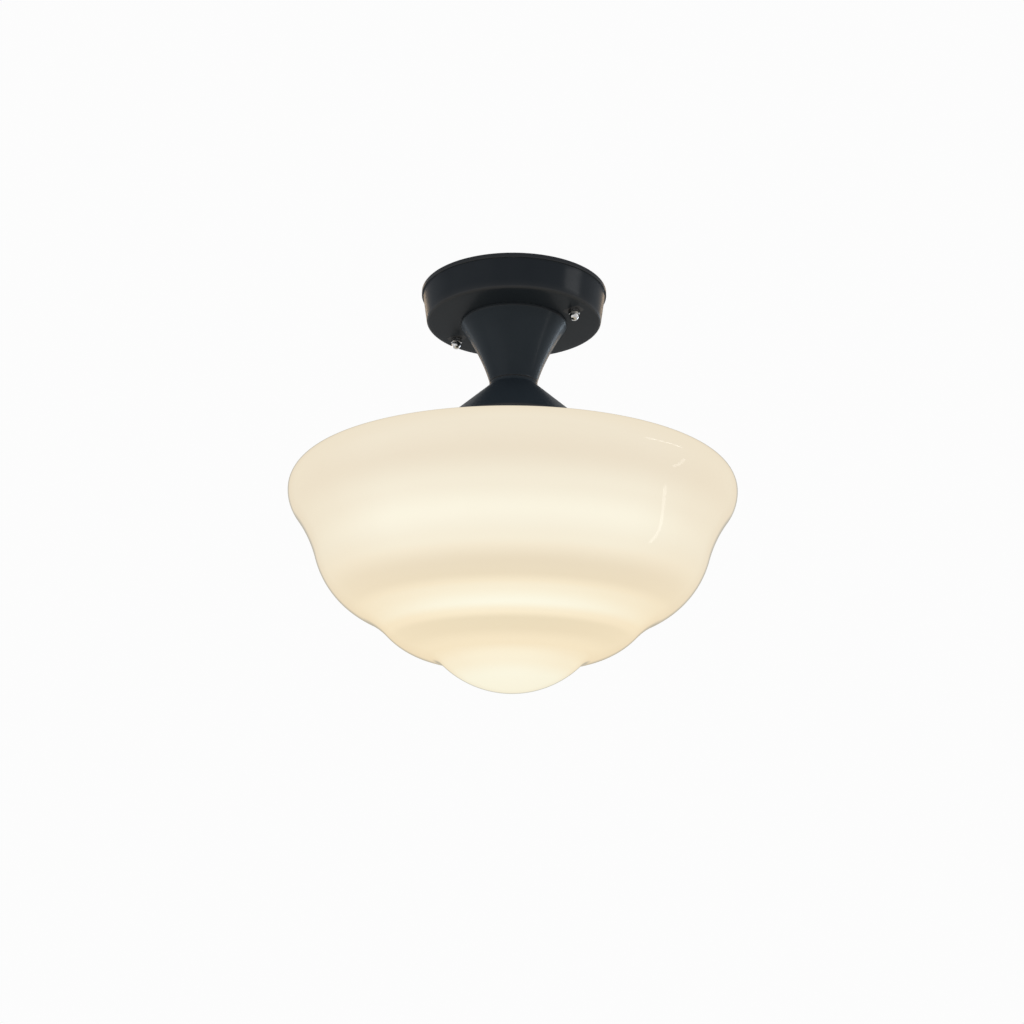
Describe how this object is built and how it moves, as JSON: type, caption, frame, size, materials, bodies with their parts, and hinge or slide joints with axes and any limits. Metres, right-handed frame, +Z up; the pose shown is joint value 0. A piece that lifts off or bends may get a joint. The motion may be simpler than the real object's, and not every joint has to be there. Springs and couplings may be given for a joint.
{
  "type": "semi flush ceiling light",
  "caption": "Semi flush ceiling light: black spun steel canopy, trumpet stem and shade holder with a stepped opal glass bowl held by thumbscrews around a screw-base lamp.",
  "frame": {"origin": "on the light's axis, in the ceiling plane at the top of the mounting plate and canopy rim", "axes": "+Z up towards the ceiling, the light hangs down from z = 0; +X along the line of the two cap nuts, +Y along the line of the outlet box screws"},
  "size_m": [0.3048, 0.3048, 0.2862],
  "materials": {
    "black_paint": "semi-gloss black paint on spun steel",
    "nickel": "bright nickel plate",
    "zinc_steel": "zinc plated steel",
    "green_screw": "green finish on steel",
    "opal_glass": "glossy opal white glass, lit from inside",
    "porcelain": "glazed white porcelain",
    "brass": "plain brass",
    "solder": "solder",
    "vinyl": "soft clear vinyl",
    "black_insulation": "black wire insulation",
    "white_insulation": "white wire insulation",
    "green_insulation": "green plastic",
    "orange_plastic": "orange connector plastic",
    "black_insulator": "black glass insulator",
    "white_plastic": "white lamp housing",
    "aluminium": "drawn aluminium",
    "board": "white solder mask",
    "phosphor": "yellow light emitting packages",
    "frosted_plastic": "frosted diffuser"
  },
  "bodies": {
    "fixture": {"mounting_plate": "zinc_steel", "ground_screw": "green_screw", "mounting_studs": "zinc_steel", "stud_jam_nuts": "zinc_steel", "cap_nut_left": "nickel", "cap_nut_right": "nickel", "canopy": "black_paint", "neck_cone": "black_paint", "shade_holder": "black_paint", "nipple": "zinc_steel", "nipple_top_washer": "zinc_steel", "nipple_top_nut": "zinc_steel", "nipple_bottom_washer": "zinc_steel", "nipple_bottom_nut": "zinc_steel", "screw_bushings": "black_paint", "socket_cap": "zinc_steel", "socket_set_screw": "zinc_steel", "socket_body": "porcelain", "socket_shell": "brass", "socket_contact": "brass", "terminal_screw_line": "brass", "terminal_screw_neutral": "nickel", "lead_line": "black_insulation", "lead_neutral": "white_insulation", "lead_ground": "green_insulation", "wire_nut_line": "orange_plastic", "wire_nut_neutral": "orange_plastic", "wire_nut_ground": "green_insulation"},
    "glass": {"shade": "opal_glass"},
    "lamp_slider": {"bulb_contact": "solder"},
    "lamp": {"bulb_insulator": "black_insulator", "bulb_base_shell": "nickel", "bulb_housing": "white_plastic", "bulb_heat_sink": "aluminium", "bulb_driver_board": "board", "bulb_led_board": "board", "bulb_leds": "phosphor", "bulb_diffuser": "frosted_plastic"},
    "thumbscrew_slider_1": {"thumbscrew_tip_1": "vinyl"},
    "thumbscrew_turner_1": {"thumbscrew_1": "black_paint"},
    "thumbscrew_slider_2": {"thumbscrew_tip_2": "vinyl"},
    "thumbscrew_turner_2": {"thumbscrew_2": "black_paint"},
    "thumbscrew_slider_3": {"thumbscrew_tip_3": "vinyl"},
    "thumbscrew_turner_3": {"thumbscrew_3": "black_paint"}
  },
  "joints": [
    {"name": "shade_lift", "type": "slide", "parent": "fixture", "child": "glass", "axis": [0, 0, 1], "range_m": [0, 0.003]},
    {"name": "lamp_travel", "type": "slide", "parent": "fixture", "child": "lamp_slider", "axis": [0, 0, -1], "range_m": [0, 0.01815]},
    {"name": "lamp_turn", "type": "hinge", "parent": "lamp_slider", "child": "lamp", "pos_m": [0, 0, -0.12], "axis": [0, 0, -1], "range_deg": [0, 1801]},
    {"name": "thumbscrew_1_travel", "type": "slide", "parent": "fixture", "child": "thumbscrew_slider_1", "axis": [0, 1, 0], "range_m": [0, 0.00159]},
    {"name": "thumbscrew_1_turn", "type": "hinge", "parent": "thumbscrew_slider_1", "child": "thumbscrew_turner_1", "pos_m": [0, 0.055, -0.11442], "axis": [0, 1, 0], "range_deg": [0, 721]},
    {"name": "thumbscrew_2_travel", "type": "slide", "parent": "fixture", "child": "thumbscrew_slider_2", "axis": [-0.866, -0.5, 0], "range_m": [0, 0.00159]},
    {"name": "thumbscrew_2_turn", "type": "hinge", "parent": "thumbscrew_slider_2", "child": "thumbscrew_turner_2", "pos_m": [-0.04763, -0.0275, -0.11442], "axis": [-0.866, -0.5, 0], "range_deg": [0, 721]},
    {"name": "thumbscrew_3_travel", "type": "slide", "parent": "fixture", "child": "thumbscrew_slider_3", "axis": [0.866, -0.5, 0], "range_m": [0, 0.00159]},
    {"name": "thumbscrew_3_turn", "type": "hinge", "parent": "thumbscrew_slider_3", "child": "thumbscrew_turner_3", "pos_m": [0.04763, -0.0275, -0.11442], "axis": [0.866, -0.5, 0], "range_deg": [0, 721]}
  ],
  "couplings": [
    {"joint": "lamp_turn", "follows": "lamp_travel", "rad_per_m": 1731.4},
    {"joint": "thumbscrew_1_turn", "follows": "thumbscrew_1_travel", "rad_per_m": 7915.8},
    {"joint": "thumbscrew_2_turn", "follows": "thumbscrew_2_travel", "rad_per_m": 7915.8},
    {"joint": "thumbscrew_3_turn", "follows": "thumbscrew_3_travel", "rad_per_m": 7915.8}
  ]
}
